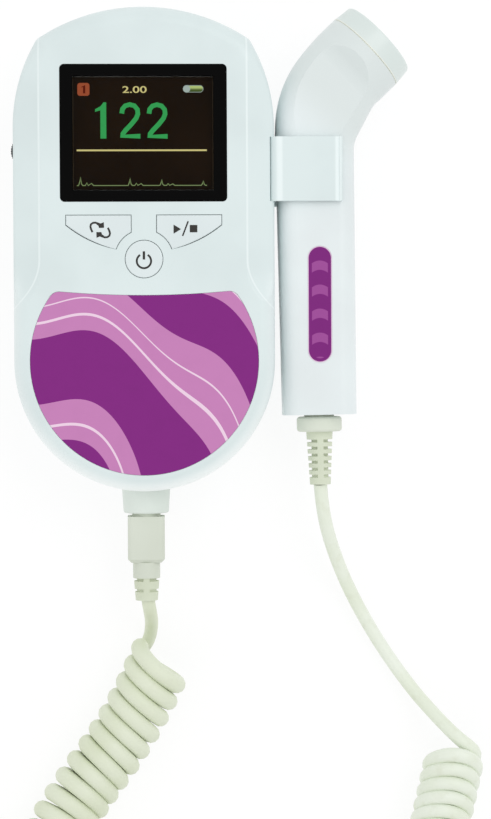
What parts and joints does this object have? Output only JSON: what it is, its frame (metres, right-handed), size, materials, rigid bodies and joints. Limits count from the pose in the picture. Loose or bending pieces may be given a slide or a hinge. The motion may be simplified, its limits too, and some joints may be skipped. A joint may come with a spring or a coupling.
{
  "type": "fetal doppler monitor",
  "caption": "Hand-held fetal heart doppler: a white unit with a colour screen, press keys and a purple label, a bent probe in a side clip, and a curly cord.",
  "frame": {"origin": "on the unit's flat back, midway along its length and width, just above the battery door", "axes": "+X towards the probe clip, +Y towards the top of the screen, +Z out of the screen"},
  "size_m": [0.1337, 0.2979, 0.0302],
  "materials": {
    "case_plastic": "satin, off-white",
    "probe_plastic": "satin, white",
    "key_plastic": "satin, white with dark marks",
    "collar_plastic": "semi-matt, off-white",
    "window_acrylic": "polished, black printed border",
    "screen_glass": "dark screen with lit figures",
    "label_film": "glossy purple film",
    "board_green": "solder mask",
    "switch_black": "moulded",
    "membrane_rubber": "translucent grey silicone",
    "wheel_plastic": "dark grey, knurled",
    "speaker_black": "paper cone and frame",
    "cell_jacket": "printed sleeve",
    "spring_steel": "nickel plated",
    "screw_steel": "zinc plated",
    "pin_brass": "gold flashed",
    "transducer_ceramic": "fired ceramic",
    "gland_rubber": "matt beige-grey",
    "cord_rubber": "semi-matt beige-grey"
  },
  "bodies": {
    "unit": {"front_shell": "case_plastic", "rear_shell": "case_plastic", "probe_holder": "case_plastic", "display_window": "window_acrylic", "display_module": "screen_glass", "front_label": "label_film", "key_membrane": "membrane_rubber", "main_board": "board_green", "key_switches": "switch_black", "speaker": "speaker_black", "volume_control": "switch_black", "probe_socket": "collar_plastic", "battery_cells": "cell_jacket", "battery_contacts": "spring_steel", "case_screws": "screw_steel"},
    "power_key": {"power_button": "key_plastic"},
    "mode_key": {"mode_button": "key_plastic"},
    "play_key": {"play_button": "key_plastic"},
    "volume": {"volume_wheel": "wheel_plastic"},
    "door": {"battery_door": "case_plastic"},
    "probe": {"probe_front_shell": "probe_plastic", "probe_rear_shell": "probe_plastic", "probe_cap": "probe_plastic", "transducer_disc": "transducer_ceramic", "probe_board": "board_green", "probe_label": "label_film", "probe_gland": "gland_rubber", "probe_strain_relief": "gland_rubber", "cord_probe_lead": "cord_rubber", "cord_coil_right": "cord_rubber"},
    "plug": {"plug_shell": "gland_rubber", "plug_pins": "pin_brass", "plug_strain_relief": "gland_rubber", "cord_plug_lead": "cord_rubber", "cord_coil_left": "cord_rubber"}
  },
  "joints": [
    {"name": "power_press", "type": "slide", "parent": "unit", "child": "power_key", "axis": [0, 0, -1], "range_m": [0, 0.0006], "stiffness_N_per_m": 1500},
    {"name": "mode_press", "type": "slide", "parent": "unit", "child": "mode_key", "axis": [0, 0, -1], "range_m": [0, 0.0006], "stiffness_N_per_m": 1500},
    {"name": "play_press", "type": "slide", "parent": "unit", "child": "play_key", "axis": [0, 0, -1], "range_m": [0, 0.0006], "stiffness_N_per_m": 1500},
    {"name": "volume_turn", "type": "hinge", "parent": "unit", "child": "volume", "pos_m": [-0.0323, 0.0274, 0.015], "axis": [0, 0, 1], "range_deg": [-135, 135]},
    {"name": "door_slide", "type": "slide", "parent": "unit", "child": "door", "axis": [0, -1, 0], "range_m": [0, 0.012]},
    {"name": "probe_slide", "type": "slide", "parent": "unit", "child": "probe", "axis": [1, 0, 0], "range_m": [0, 0.03]},
    {"name": "plug_pull", "type": "slide", "parent": "unit", "child": "plug", "axis": [0, -1, 0], "range_m": [0, 0.009]}
  ]
}
